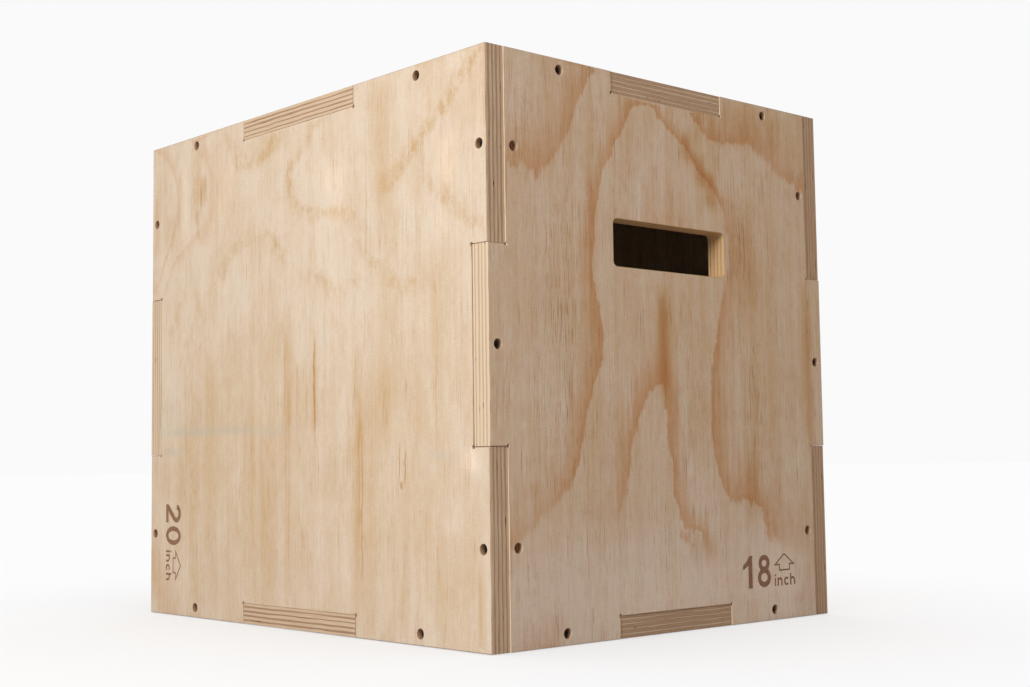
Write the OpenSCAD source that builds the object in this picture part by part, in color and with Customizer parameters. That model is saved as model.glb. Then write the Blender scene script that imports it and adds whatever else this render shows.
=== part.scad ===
// Plywood jump box with three usable heights.
// Six finger-jointed panels are screwed together into a closed box with two hand slots.
// Frame: origin at the middle of the base, +Z up, X along the longest side.
// The front panel faces -Y and the two slotted panels face +X and -X.

/* [Box] */
// Outside length along X
box_length = 508; // [400:0.1:760]
// Outside depth along Y
box_depth = 406.4; // [360:0.1:610]
// Outside height along Z
box_height = 457.2; // [400:0.1:610]
// Thickness of the plywood
ply = 18; // [15:0.5:21]

/* [Finger joints] */
// Gap between the side of a finger and its notch
finger_gap = 0.3; // [0.1:0.05:0.6]
// Diameter of the cutter's relief in each inner corner
relief_d = 2.6; // [2:0.1:4]
// How far the ends of the other panels lie below the faces of the slotted panels
end_recess = 0.8; // [0.1:0.1:1.2]

/* [Hand slots] */
// Width of a hand slot
slot_width = 137; // [110:1:160]
// Height of a hand slot
slot_height = 39; // [32:1:45]
// Drop from the top of the box to the middle of a hand slot
slot_drop = 140.5; // [100:0.5:160]
// Radius of a hand slot's corners
slot_radius = 4.5; // [3:0.5:15]

/* [Screws] */
// Length of a screw from its head's face to its point
screw_length = 40; // [32:1:50]
// Diameter of a screw's head
head_d = 7.8; // [7:0.1:8]
// Height of the countersunk head
head_height = 2.2; // [1.8:0.1:2.6]
// Diameter of a screw's shank
shank_d = 4; // [3.5:0.1:4.2]
// Height of a screw's pointed end
point_height = 5; // [3:0.5:8]
// Depth of a head's face below the panel's face
recess_depth = 4; // [3:0.5:6]
// Diameter of the recess above a head
recess_d = 8.2; // [8.1:0.1:9]
// Radial gap between a screw and its bore
screw_gap = 0.1; // [0.05:0.01:0.2]
// Length across the arms of the cross drive
drive_span = 4.4; // [3.5:0.1:5]
// Width of an arm of the cross drive
drive_width = 1; // [0.8:0.1:1.3]
// Depth of the cross drive
drive_depth = 1.6; // [1:0.1:2]

/* [Unused pilot holes] */
// Diameter of the small pilot at the bottom of an unused recess
pilot_d = 3; // [2:0.1:3.5]
// Depth of the pilot below the recess
pilot_depth = 2; // [1:0.1:2]

/* [Hidden] */
$fn = 48;
panel_colour = "burlywood";
screw_colour = "dimgray";
// Overshoot that makes a cut clean
over = 1;
// Outer faces of the box, and the middle of its height
x_face = box_length / 2;
y_face = box_depth / 2;
z_middle = box_height / 2;
// Length of the front, back, top and bottom panels
long_reach = box_length - 2 * end_recess;
// Middle planes of the panels, where the screws that enter their edges lie
x_edge = x_face - ply / 2;
y_edge = y_face - ply / 2;
z_low = ply / 2;
z_high = box_height - ply / 2;
// Each edge is divided in thirds, and a screw is at the middle of an outer third
x_screw = box_length / 3;
y_screw = box_depth / 3 - ply / 2;
z_screw = box_height / 3;
// Turns that bring +Z onto each outward direction
to_front = [90, 0, 0];
to_back = [-90, 0, 0];
to_right = [0, 90, 0];
to_left = [0, -90, 0];
to_top = [0, 0, 0];
to_bottom = [180, 0, 0];

// ---- Places of the screw heads, on the panels' outer faces ----

// Front or back panel, whose outer face is at y: along an edge at height z
function long_edge_heads(y, z) = [for (s = [-1, 1]) [s * x_screw, y, z]];
// Front or back panel: down the edge beside the panel at x
function long_end_heads(y, x) = [for (s = [-1, 1]) [x, y, z_middle + s * z_screw]];
// Slotted panel, whose outer face is at x: along an edge at height z
function side_edge_heads(x, z) = [for (s = [-1, 1]) [x, s * y_screw, z]];
// Slotted panel: in its two side fingers
function side_finger_heads(x) = [for (s = [-1, 1]) [x, s * y_edge, z_middle]];
// Top or bottom panel, whose outer face is at z: in the fingers over the slotted panels
function flat_side_finger_heads(z) = [for (s = [-1, 1]) [s * x_edge, 0, z]];
// Top or bottom panel: in the fingers over the front and back panels
function flat_long_finger_heads(z) = [for (s = [-1, 1]) [0, s * y_edge, z]];
// Slotted panel: unused recesses beside the front and back panels
function spare_recesses(x) =
    [for (sy = [-1, 1], sz = [-1, 1]) [x, sy * (y_edge - ply), z_middle + sz * z_screw]];

module at_places(places, turn) {
    for (place = places)
        translate(place) rotate(turn) children();
}

// ---- Screws and their holes, drawn with the panel's face at z = 0 ----

module cross_drive() {
    for (turn = [0, 90])
        rotate(turn)
            translate([-drive_span / 2, -drive_width / 2, -drive_depth])
                cube([drive_span, drive_width, drive_depth + over]);
}

module wood_screw() {
    straight = screw_length - head_height - point_height;
    translate([0, 0, -recess_depth])
        difference() {
            union() {
                translate([0, 0, -head_height])
                    cylinder(h = head_height, d1 = shank_d, d2 = head_d);
                translate([0, 0, -head_height - straight])
                    cylinder(h = straight, d = shank_d);
                translate([0, 0, -screw_length])
                    cylinder(h = point_height, d1 = shank_d / 6, d2 = shank_d);
            }
            cross_drive();
        }
}

// Recess, countersunk seat and bore of one screw, through one panel into the next one's edge
module screw_bore() {
    bore_d = shank_d + 2 * screw_gap;
    translate([0, 0, -recess_depth])
        cylinder(h = recess_depth + over, d = recess_d);
    translate([0, 0, -recess_depth - head_height])
        cylinder(h = head_height, d1 = bore_d, d2 = recess_d);
    translate([0, 0, -recess_depth - screw_length - screw_gap])
        cylinder(h = screw_length, d = bore_d);
}

// Recess with a small pilot that holds no screw
module spare_recess() {
    translate([0, 0, -recess_depth])
        cylinder(h = recess_depth + over, d = recess_d);
    translate([0, 0, -recess_depth - pilot_depth])
        cylinder(h = pilot_depth + over, d = pilot_d);
}

module screws(places, turn) {
    color(screw_colour) at_places(places, turn) wood_screw();
}

module bores(places, turn) {
    at_places(places, turn) screw_bore();
}

// ---- Flat outlines of the panels ----

// Cutter reliefs at (x, y) and its mirror images
module corner_reliefs(x, y) {
    for (sx = [-1, 1], sy = [-1, 1])
        translate([sx * x, sy * y]) circle(d = relief_d);
}

// A notch for a finger in the middle of each of two edges, which are height apart
module edge_notches(height, finger) {
    open = finger + 2 * finger_gap;
    for (s = [-1, 1])
        translate([0, s * (height - ply + over) / 2])
            square([open, ply + over], center = true);
    corner_reliefs(open / 2, height / 2 - ply);
}

module long_outline() {
    difference() {
        square([long_reach, box_height], center = true);
        edge_notches(box_height, box_length / 3);
        rotate(90) edge_notches(long_reach, box_height / 3);
    }
}

module side_outline() {
    set_back = box_depth - 2 * ply;
    difference() {
        union() {
            square([set_back, box_height], center = true);
            square([box_depth, box_height / 3], center = true);
        }
        edge_notches(box_height, box_depth / 3);
        corner_reliefs(set_back / 2, box_height / 6);
        translate([0, z_middle - slot_drop]) slot_outline();
    }
}

module flat_outline() {
    set_back_x = long_reach - 2 * ply;
    set_back_y = box_depth - 2 * ply;
    difference() {
        union() {
            square([set_back_x, set_back_y], center = true);
            square([box_length / 3, box_depth], center = true);
            square([long_reach, box_depth / 3], center = true);
        }
        corner_reliefs(box_length / 6, set_back_y / 2);
        corner_reliefs(set_back_x / 2, box_depth / 6);
    }
}

// Rounded rectangle of a hand slot
module slot_outline() {
    square([slot_width - 2 * slot_radius, slot_height], center = true);
    square([slot_width, slot_height - 2 * slot_radius], center = true);
    for (sx = [-1, 1], sy = [-1, 1])
        translate([sx * (slot_width / 2 - slot_radius), sy * (slot_height / 2 - slot_radius)])
            circle(r = slot_radius);
}

// ---- Panels without their screw holes ----

// Front or back panel, whose middle plane is at y
module long_plate(y) {
    translate([0, y + ply / 2, z_middle])
        rotate([90, 0, 0])
            linear_extrude(height = ply) long_outline();
}

// Slotted panel, whose middle plane is at x
module side_plate(x) {
    translate([x - ply / 2, 0, z_middle])
        rotate([90, 0, 90])
            linear_extrude(height = ply) side_outline();
}

// Top or bottom panel, whose middle plane is at z
module flat_plate(z) {
    translate([0, 0, z - ply / 2])
        linear_extrude(height = ply) flat_outline();
}

// ---- Panels ----

// Bores in a front or back panel on the side s: its own, then those of the fingers that it holds
module long_bores(s, turn) {
    bores(long_edge_heads(s * y_face, z_high), turn);
    bores(long_edge_heads(s * y_face, z_low), turn);
    bores(long_end_heads(s * y_face, x_edge), turn);
    bores(long_end_heads(s * y_face, -x_edge), turn);
    bores([[x_face, s * y_edge, z_middle]], to_right);
    bores([[-x_face, s * y_edge, z_middle]], to_left);
    bores([[0, s * y_edge, box_height]], to_top);
    bores([[0, s * y_edge, 0]], to_bottom);
}

// Bores in a slotted panel on the side s: its own, then those of the screws that enter its edges
module side_bores(s, turn) {
    bores(side_edge_heads(s * x_face, z_high), turn);
    bores(side_edge_heads(s * x_face, z_low), turn);
    bores(side_finger_heads(s * x_face), turn);
    bores(long_end_heads(-y_face, s * x_edge), to_front);
    bores(long_end_heads(y_face, s * x_edge), to_back);
    bores([[s * x_edge, 0, box_height]], to_top);
    bores([[s * x_edge, 0, 0]], to_bottom);
    at_places(spare_recesses(s * x_face), turn) spare_recess();
}

// Bores in the top or bottom panel, with its outer face at z_face and its middle plane at z_mid
module flat_bores(z_face, z_mid, turn) {
    bores(flat_side_finger_heads(z_face), turn);
    bores(flat_long_finger_heads(z_face), turn);
    bores(long_edge_heads(-y_face, z_mid), to_front);
    bores(long_edge_heads(y_face, z_mid), to_back);
    bores(side_edge_heads(x_face, z_mid), to_right);
    bores(side_edge_heads(-x_face, z_mid), to_left);
}

module front_panel() {
    color(panel_colour) difference() {
        long_plate(-y_edge);
        long_bores(-1, to_front);
    }
}

module back_panel() {
    color(panel_colour) difference() {
        long_plate(y_edge);
        long_bores(1, to_back);
    }
}

module right_panel() {
    color(panel_colour) difference() {
        side_plate(x_edge);
        side_bores(1, to_right);
    }
}

module left_panel() {
    color(panel_colour) difference() {
        side_plate(-x_edge);
        side_bores(-1, to_left);
    }
}

module top_panel() {
    color(panel_colour) difference() {
        flat_plate(z_high);
        flat_bores(box_height, z_high, to_top);
    }
}

module bottom_panel() {
    color(panel_colour) difference() {
        flat_plate(z_low);
        flat_bores(0, z_low, to_bottom);
    }
}

// ---- Screws, in pairs ----

module front_top_screws() screws(long_edge_heads(-y_face, z_high), to_front);
module front_bottom_screws() screws(long_edge_heads(-y_face, z_low), to_front);
module front_left_screws() screws(long_end_heads(-y_face, -x_edge), to_front);
module front_right_screws() screws(long_end_heads(-y_face, x_edge), to_front);
module back_top_screws() screws(long_edge_heads(y_face, z_high), to_back);
module back_bottom_screws() screws(long_edge_heads(y_face, z_low), to_back);
module back_left_screws() screws(long_end_heads(y_face, -x_edge), to_back);
module back_right_screws() screws(long_end_heads(y_face, x_edge), to_back);
module right_top_screws() screws(side_edge_heads(x_face, z_high), to_right);
module right_bottom_screws() screws(side_edge_heads(x_face, z_low), to_right);
module right_finger_screws() screws(side_finger_heads(x_face), to_right);
module left_top_screws() screws(side_edge_heads(-x_face, z_high), to_left);
module left_bottom_screws() screws(side_edge_heads(-x_face, z_low), to_left);
module left_finger_screws() screws(side_finger_heads(-x_face), to_left);
module top_side_finger_screws() screws(flat_side_finger_heads(box_height), to_top);
module top_long_finger_screws() screws(flat_long_finger_heads(box_height), to_top);
module bottom_side_finger_screws() screws(flat_side_finger_heads(0), to_bottom);
module bottom_long_finger_screws() screws(flat_long_finger_heads(0), to_bottom);

front_panel();
back_panel();
right_panel();
left_panel();
top_panel();
bottom_panel();
front_top_screws();
front_bottom_screws();
front_left_screws();
front_right_screws();
back_top_screws();
back_bottom_screws();
back_left_screws();
back_right_screws();
right_top_screws();
right_bottom_screws();
right_finger_screws();
left_top_screws();
left_bottom_screws();
left_finger_screws();
top_side_finger_screws();
top_long_finger_screws();
bottom_side_finger_screws();
bottom_long_finger_screws();
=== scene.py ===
"""Looks of the plywood jump box: finger-jointed panels with veneer figure, burnt height marks and screws."""

import math

import bpy
import numpy as np
from mathutils import Matrix, Vector, geometry


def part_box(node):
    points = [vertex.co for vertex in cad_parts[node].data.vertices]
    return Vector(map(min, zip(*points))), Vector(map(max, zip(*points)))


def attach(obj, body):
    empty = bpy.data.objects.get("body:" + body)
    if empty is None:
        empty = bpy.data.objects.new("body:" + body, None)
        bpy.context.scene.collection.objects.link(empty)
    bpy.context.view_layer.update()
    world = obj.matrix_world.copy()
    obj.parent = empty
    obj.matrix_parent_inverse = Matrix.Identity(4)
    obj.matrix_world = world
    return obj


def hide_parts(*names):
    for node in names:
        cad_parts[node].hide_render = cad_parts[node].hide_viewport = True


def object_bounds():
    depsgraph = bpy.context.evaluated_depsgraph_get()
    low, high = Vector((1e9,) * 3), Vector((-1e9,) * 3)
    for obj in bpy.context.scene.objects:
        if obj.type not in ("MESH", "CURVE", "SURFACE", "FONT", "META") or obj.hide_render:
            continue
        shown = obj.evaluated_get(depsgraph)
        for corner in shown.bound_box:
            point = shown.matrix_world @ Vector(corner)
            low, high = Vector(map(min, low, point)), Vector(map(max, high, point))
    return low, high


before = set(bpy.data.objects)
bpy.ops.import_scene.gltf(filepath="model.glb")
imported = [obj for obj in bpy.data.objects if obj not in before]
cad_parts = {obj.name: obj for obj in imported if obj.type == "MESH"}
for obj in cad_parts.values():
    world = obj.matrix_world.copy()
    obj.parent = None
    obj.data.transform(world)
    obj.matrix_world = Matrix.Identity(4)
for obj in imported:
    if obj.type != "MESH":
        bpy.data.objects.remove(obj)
cad_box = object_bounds()

# ---- Sizes, in millimetres unless a name says otherwise ----

MM = 0.001
EASE = 0.45                # radius of the sanded edges
FINGER_GAP = 0.3           # between the side of a finger and its notch
RELIEF_R = 1.3             # cutter relief in each inner corner
SLOT_SIZE = (137.0, 39.0)  # hand slot
SLOT_DROP = 140.5          # from the top of the box to the middle of a slot
SLOT_R = 4.5
RECESS_R = 4.1             # hole above a screw head
RECESS_DEPTH = 4.0
SEAT_HEIGHT = 2.2          # countersunk seat under a head
BORE_R = 2.1
SPARE_PILOT_R = 1.5        # pilot in the middle of an unused recess
SPARE_PILOT_DEPTH = 2.0
HEAD_R = 3.9
HEAD_BEVEL = (0.25, 0.15)  # its width and height, at the rim of a head's flat top
DRIVE_TOP = (2.2, 1.1)     # reach and width of the arms of the cross drive
DRIVE_FLOOR = (1.5, 0.7)
DRIVE_DEPTH = 1.6
SHANK_R = 2.0
CORE_R = 1.35              # screw core under the thread
PITCH = 1.9                # of the thread
POINT_HEIGHT = 5.0
TIP_R = 0.1
SCREW_SIDES = 24
LEVELS_PER_TURN = 8        # of the thread's mesh
MARK_DEPTH = 0.25          # of the burnt marks
NEAR = 0.05                # tolerance when vertices are sought
PLIES = 9
GRID = 4.0                 # spacing of the points that carry the figure
ARC_STEP = math.radians(10)
SMOOTH_ANGLE = math.radians(12)


def box_mm(node):
    low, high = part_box(node)
    return np.array(low) / MM, np.array(high) / MM


LOW, HIGH = (np.array(corner) / MM for corner in cad_box)
LENGTH, DEPTH, HEIGHT = HIGH - LOW
FRONT_LOW, FRONT_HIGH = box_mm("front_panel")
PLY = FRONT_HIGH[1] - FRONT_LOW[1]
LONG_REACH = FRONT_HIGH[0] - FRONT_LOW[0]

# ---- Camera ----

CAMERA_AZIMUTH, CAMERA_ELEVATION, CAMERA_ROLL = 47.86, -4.6, -0.77
CAMERA_FROM_CORNER = Vector((0.8456, -0.7391, 0.1378))   # from the near lower corner of the box
LENS = 53.0


def make_camera():
    camera = bpy.data.objects.new("camera", bpy.data.cameras.new("camera"))
    bpy.context.scene.collection.objects.link(camera)
    camera.data.lens = LENS
    azimuth, elevation = math.radians(CAMERA_AZIMUTH), math.radians(CAMERA_ELEVATION)
    flat = math.cos(elevation)
    back = Vector((math.sin(azimuth) * flat, -math.cos(azimuth) * flat, math.sin(elevation)))
    right = Vector((math.cos(azimuth), math.sin(azimuth), 0))
    up = back.cross(right)
    turn = Matrix((right, up, back)).transposed() @ Matrix.Rotation(math.radians(CAMERA_ROLL), 3, "Z")
    corner = Vector((HIGH[0], LOW[1], LOW[2])) * MM
    camera.matrix_world = Matrix.Translation(corner + CAMERA_FROM_CORNER) @ turn.to_4x4()
    bpy.context.scene.camera = camera


# ---- Flat loops: material always lies on the left of the way round ----

def arc(centre, radius, start, end):
    """Points from angle start to end, in radians, both ends included."""
    count = max(2, math.ceil(abs(end - start) / ARC_STEP) + 1)
    angles = np.linspace(start, end, count)
    return np.array(centre) + radius * np.stack([np.cos(angles), np.sin(angles)], 1)


def relieved(points, is_inner):
    """The outline with a round cutter relief in each inner corner."""
    out = []
    for i, point in enumerate(points):
        if not is_inner[i]:
            out.append([point])
            continue
        into = point - points[i - 1]
        away = points[(i + 1) % len(points)] - point
        start = math.atan2(-into[1], -into[0])
        end = math.atan2(away[1], away[0])
        while end > start - math.pi:
            end -= 2 * math.pi
        out.append(arc(point, RELIEF_R, start, end))
    return np.concatenate(out)


def finger_outline(width, height, across, upright):
    """A rectangle about (0, 0) with a notch or a finger in the middle of each edge.

    across is (half its width, its depth) on the edges along the first axis, upright on the others.
    Depth is below 0 for a finger."""
    corners = np.array([(-1, -1), (1, -1), (1, 1), (-1, 1)]) * (width / 2, height / 2)
    points, is_inner = [], []
    for i in range(4):
        start, end = corners[i], corners[(i + 1) % 4]
        half, depth = across if i % 2 == 0 else upright
        along = (end - start) / np.linalg.norm(end - start)
        inward = np.array([-along[1], along[0]])
        middle = (start + end) / 2
        for offset, sink in ((-half, 0), (-half, depth), (half, depth), (half, 0)):
            points.append(middle + offset * along + sink * inward)
            is_inner.append((sink != 0) == (depth > 0))
        points.insert(-4, start)
        is_inner.insert(-4, False)
    return relieved(np.array(points), is_inner)


def slot_loop(centre):
    half_w, half_h = SLOT_SIZE[0] / 2 - SLOT_R, SLOT_SIZE[1] / 2 - SLOT_R
    quarter = math.pi / 2
    corners = ((1, 1, quarter), (1, -1, 0), (-1, -1, -quarter), (-1, 1, -2 * quarter))
    return np.concatenate([
        arc((centre[0] + sx * half_w, centre[1] + sy * half_h), SLOT_R, top, top - quarter)
        for sx, sy, top in corners
    ])


def circle_loop(centre, radius, count=32):
    angles = -np.arange(count) / count * 2 * math.pi
    return np.array(centre) + radius * np.stack([np.cos(angles), np.sin(angles)], 1)


def shifted(loop, distance):
    """The loop moved distance into the material."""
    ahead = np.roll(loop, -1, 0) - loop
    ahead /= np.linalg.norm(ahead, axis=1)[:, None]
    left = np.stack([-ahead[:, 1], ahead[:, 0]], 1)
    before = np.roll(left, 1, 0)
    return loop + distance * (left + before) / (1 + (left * before).sum(1))[:, None]


def inside(points, loop):
    """Which points lie inside the loop."""
    found = np.zeros(len(points), bool)
    for (x0, y0), (x1, y1) in zip(loop, np.roll(loop, -1, 0)):
        if y0 == y1:
            continue
        crosses = (points[:, 1] > y0) != (points[:, 1] > y1)
        found ^= crosses & (points[:, 0] < x0 + (points[:, 1] - y0) * (x1 - x0) / (y1 - y0))
    return found


# ---- Burnt height marks, as strokes in a frame with its origin at the foot of the first digit ----

def bar(start, end, width):
    start, end = np.array(start, float), np.array(end, float)
    side = np.array([start[1] - end[1], end[0] - start[0]]) / np.linalg.norm(end - start) * width / 2
    return np.array([start + side, start - side, end - side, end + side]), None


def ellipse(centre, rx, ry, start=0.0, end=360.0, count=36):
    angles = np.radians(np.linspace(start, end, count, endpoint=abs(end - start) < 360))
    return np.array(centre) + np.stack([rx * np.cos(angles), ry * np.sin(angles)], 1)


def oval(centre, rx, ry, width):
    return ellipse(centre, rx, ry), ellipse(centre, rx - width, ry - width)


def bow(centre, rx, ry, width, start, end):
    outer = ellipse(centre, rx, ry, start, end, 20)
    inner = ellipse(centre, rx - width, ry - width, end, start, 20)
    return np.concatenate([outer, inner]), None


def filled(*points):
    return np.array(points, float), None


def closed_line(points, width):
    loop = np.array(points, float)
    return shifted(loop, -width / 2), shifted(loop, width / 2)


DIGITS = {
    "0": [oval((9, 14), 9, 14, 4.6)],
    "1": [filled((8.4, 28), (5.6, 24), (0, 20), (0, 15.8), (7.2, 19.6), (7.2, 0), (12.6, 0), (12.6, 28))],
    "2": [
        bow((9, 19.6), 8.6, 8.4, 4.6, 175, -38),
        filled((15.6, 13.9), (12.6, 18.0), (0.4, 5.0), (0.4, 0), (6.6, 4.0)),
        filled((0.4, 0), (17.8, 0), (17.8, 4.8), (0.4, 4.8)),
    ],
    "6": [oval((9, 9), 9, 9, 4.6), bow((13.2, 10.5), 13.2, 17.5, 4.6, 86, 186)],
    "8": [oval((9, 20.7), 7.6, 7.3, 4.4), oval((9, 8.4), 9, 8.4, 4.6)],
}
WIDE_DIGIT = 18.0
DIGIT_WIDTH = {"1": 16.5}  # of the digits that aren't wide
DIGIT_GAP = 3.2
LINE = 1.9                 # width of the small letters' strokes
INCH = [
    bar((1, 0), (1, 7.2), LINE), bar((1, 8.5), (1, 10.2), LINE),
    bar((4.8, 0), (4.8, 7.2), LINE), bow((7.4, 4.2), 3.6, 3.1, LINE, 0, 180),
    bar((10.05, 0), (10.05, 4.3), LINE),
    bow((16.7, 3.6), 3.6, 3.8, LINE, 44, 316),
    bar((22.6, 0), (22.6, 10.2), LINE), bow((25.2, 4.2), 3.6, 3.1, LINE, 0, 180),
    bar((27.85, 0), (27.85, 4.3), LINE),
]
ARROW = [closed_line([(7, 0), (21, 0), (21, 5), (27, 5), (14, 14), (1, 5), (7, 5)], 1.3)]
SMALL_GAP = 5.2            # from the last digit to the arrow and the unit
ARROW_RISE = 13.6


def mark_strokes(digits):
    """The strokes of a height mark: two digits, an arrow and the unit."""
    strokes, x = [], -DIGIT_GAP
    for digit in digits:
        strokes += [moved(stroke, (x + DIGIT_GAP, 0)) for stroke in DIGITS[digit]]
        x += DIGIT_GAP + DIGIT_WIDTH.get(digit, WIDE_DIGIT)
    strokes += [moved(stroke, (x + SMALL_GAP, ARROW_RISE)) for stroke in ARROW]
    strokes += [moved(stroke, (x + SMALL_GAP, 0)) for stroke in INCH]
    return strokes


def moved(stroke, offset, turn=0.0):
    """The stroke turned about its origin, in degrees, and then moved."""
    c, s = math.cos(math.radians(turn)), math.sin(math.radians(turn))
    matrix = np.array([[c, s], [-s, c]])
    return tuple(None if loop is None else loop @ matrix + np.array(offset) for loop in stroke)


# ---- Panel solids ----

VENEER, EDGE, BURNT = 0, 1, 2
# Section of an eased edge, as (distance into the material, depth)
EASED_EDGE = ((EASE, 0.0), (EASE * 0.5, EASE * 0.134), (EASE * 0.134, EASE * 0.5), (0.0, EASE))


class Side:
    """A panel's place: origin is the middle of its outer face, right and up as seen from outside the box."""

    def __init__(self, origin, right, up):
        self.origin, self.right, self.up = (np.array(v, float) for v in (origin, right, up))
        self.out = np.cross(self.right, self.up)

    def to_frame(self, vertices):
        """Places in the frame, in metres, of vertices (x, y, depth)."""
        axes = np.stack([self.right, self.up, -self.out])
        return (self.origin + np.array(vertices) @ axes) * MM

    def to_flat(self, point):
        away = np.array(point) - self.origin
        return np.array([away @ self.right, away @ self.up])


class Solid:
    """Vertices (x, y, depth) and faces of one panel, in its own flat frame."""

    def __init__(self):
        self.vertices, self.faces, self.kinds = [], [], []

    def add(self, loop, depth):
        first = len(self.vertices)
        self.vertices += [(x, y, depth) for x, y in loop]
        return list(range(first, first + len(loop)))

    def face(self, corners, kind):
        self.faces.append(corners)
        self.kinds.append(kind)

    def wall(self, upper, lower, kind=EDGE):
        """Quads between two rings of the same length. upper is nearer the outer face."""
        for i in range(len(upper)):
            j = (i + 1) % len(upper)
            self.face((upper[i], lower[i], lower[j], upper[j]), kind)

    def sheet(self, rings, depth, facing_out, strokes=(), spacing=None):
        """Triangles between rings of vertices that lie at this depth. The first ring is the outer one."""
        loops = [np.array([self.vertices[i][:2] for i in ring]) for ring in rings]
        known = [i for ring in rings for i in ring]
        points, edges = list(np.concatenate(loops)), []
        for ring in rings:
            first = len(edges)
            edges += [(first + i, first + (i + 1) % len(ring)) for i in range(len(ring))]
        for loop in (part for stroke in strokes for part in stroke if part is not None):
            first = len(points)
            points += list(loop)
            edges += [(first + i, first + (i + 1) % len(loop)) for i in range(len(loop))]
        if spacing:
            low, high = loops[0].min(0), loops[0].max(0)
            axes = [np.linspace(a, b, int((b - a) / spacing) + 1)[1:-1] for a, b in zip(low, high)]
            points += list(np.stack(np.meshgrid(*axes), -1).reshape(-1, 2))
        made = geometry.delaunay_2d_cdt([Vector(p) for p in points], edges, [], 0, 1e-4)
        corners, _, faces, origins = made[:4]
        flat = np.array([tuple(v) for v in corners])
        ids = {}
        for vertex, sources in enumerate(origins):
            own = [known[s] for s in sources if s < len(known)]
            if own:
                ids[vertex] = own[0]
        triangles = np.array(faces)
        middles = flat[triangles].mean(1)
        keep = inside(middles, loops[0])
        for loop in loops[1:]:
            keep &= ~inside(middles, loop)
        burnt = np.zeros(len(middles), bool)
        for outer, inner in strokes:
            burnt |= inside(middles, outer) & (True if inner is None else ~inside(middles, inner))
        self.triangles(flat, triangles[keep & ~burnt], depth, facing_out, ids, VENEER)
        if burnt.any():
            self.sunken(flat, triangles[keep & burnt], depth, ids)

    def triangles(self, flat, triangles, depth, facing_out, ids, kind):
        """Adds triangles of flat points at this depth. ids maps a flat point to its vertex, and grows."""
        for triangle in triangles:
            for i in triangle:
                if i not in ids:
                    ids[i] = len(self.vertices)
                    self.vertices.append((*flat[i], depth))
            corners = [ids[i] for i in triangle]
            self.face(corners if facing_out else corners[::-1], kind)

    def sunken(self, flat, triangles, depth, ids):
        """Adds a burnt mark: its floor lies deeper than the face around it, with a wall along its rim."""
        low = {}
        self.triangles(flat, triangles, depth + MARK_DEPTH, True, low, BURNT)
        ways = {(t[i], t[(i + 1) % 3]) for t in triangles.tolist() for i in range(3)}
        for a, b in sorted(ways):
            if (b, a) not in ways:
                self.face((ids[b], low[b], low[a], ids[a]), BURNT)

    def in_recess_shade(self, centres):
        """Which vertices lie at or under the bottom of the recesses at these centres. They get the painted
        shade of the recesses.
        """
        vertices = np.array(self.vertices)
        near = np.zeros(len(vertices), bool)
        for centre in centres:
            near |= np.linalg.norm(vertices[:, :2] - centre, axis=1) < RECESS_R + NEAR
        return near & (vertices[:, 2] > RECESS_DEPTH - 2 * NEAR)


def eased_wall(solid, loop):
    """The wall of an outline or slot through the whole panel. Returns its rings on the two faces."""
    rings = [solid.add(shifted(loop, inset), depth) for inset, depth in EASED_EDGE]
    rings += [solid.add(shifted(loop, inset), PLY - depth) for inset, depth in reversed(EASED_EDGE)]
    for upper, lower in zip(rings, rings[1:]):
        solid.wall(upper, lower)
    return rings[0], rings[-1]


def stepped_hole(solid, centre, steps):
    """Rings of a round hole, given as (radius, depth) from the outer face down."""
    rings = [solid.add(circle_loop(centre, radius), depth) for radius, depth in steps]
    for upper, lower in zip(rings, rings[1:]):
        solid.wall(upper, lower)
    return rings


SLOT_SHADE_AGE = -1.0            # stands for the fresh edge inside a hand slot, darkened and warmed there as painted shade and bounce light
RECESS_SHADE_AGE = 3.0          # stands for the bottom of a recess, where the edge's age is stored; it gets painted shade
# Sections of the holes, as (radius, depth) from the outer face down
HOLE_TOP = ((RECESS_R + 0.25, 0.0), (RECESS_R + 0.08, 0.08), (RECESS_R, 0.3), (RECESS_R, RECESS_DEPTH))
SCREW_STEPS = HOLE_TOP + ((BORE_R, RECESS_DEPTH + SEAT_HEIGHT), (BORE_R, PLY))
SPARE_STEPS = HOLE_TOP + (
    (SPARE_PILOT_R, RECESS_DEPTH + 0.5), (SPARE_PILOT_R, RECESS_DEPTH + SPARE_PILOT_DEPTH),
)


def panel_solid(outline, slots, screw_centres, unused_centres, strokes):
    solid = Solid()
    outer, inner = [], []
    for loop in [outline, *slots]:
        front, back = eased_wall(solid, loop)
        outer.append(front)
        inner.append(back)
    for centre in screw_centres:
        rings = stepped_hole(solid, centre, SCREW_STEPS)
        outer.append(rings[0])
        inner.append(rings[-1])
    for centre in unused_centres:
        rings = stepped_hole(solid, centre, SPARE_STEPS)
        outer.append(rings[0])
        solid.face(rings[-1][::-1], EDGE)
    solid.sheet(outer, 0.0, True, strokes=strokes, spacing=GRID)
    solid.sheet(inner, PLY, False)
    return solid


# ---- Growth rings: each veneer's field passes through a whole number along a ring ----

FIELD_UNIT = 100.0         # the fields are solved in units of this many mm
FIELD_SLACK = 0.002        # how loosely a field follows its points


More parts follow.
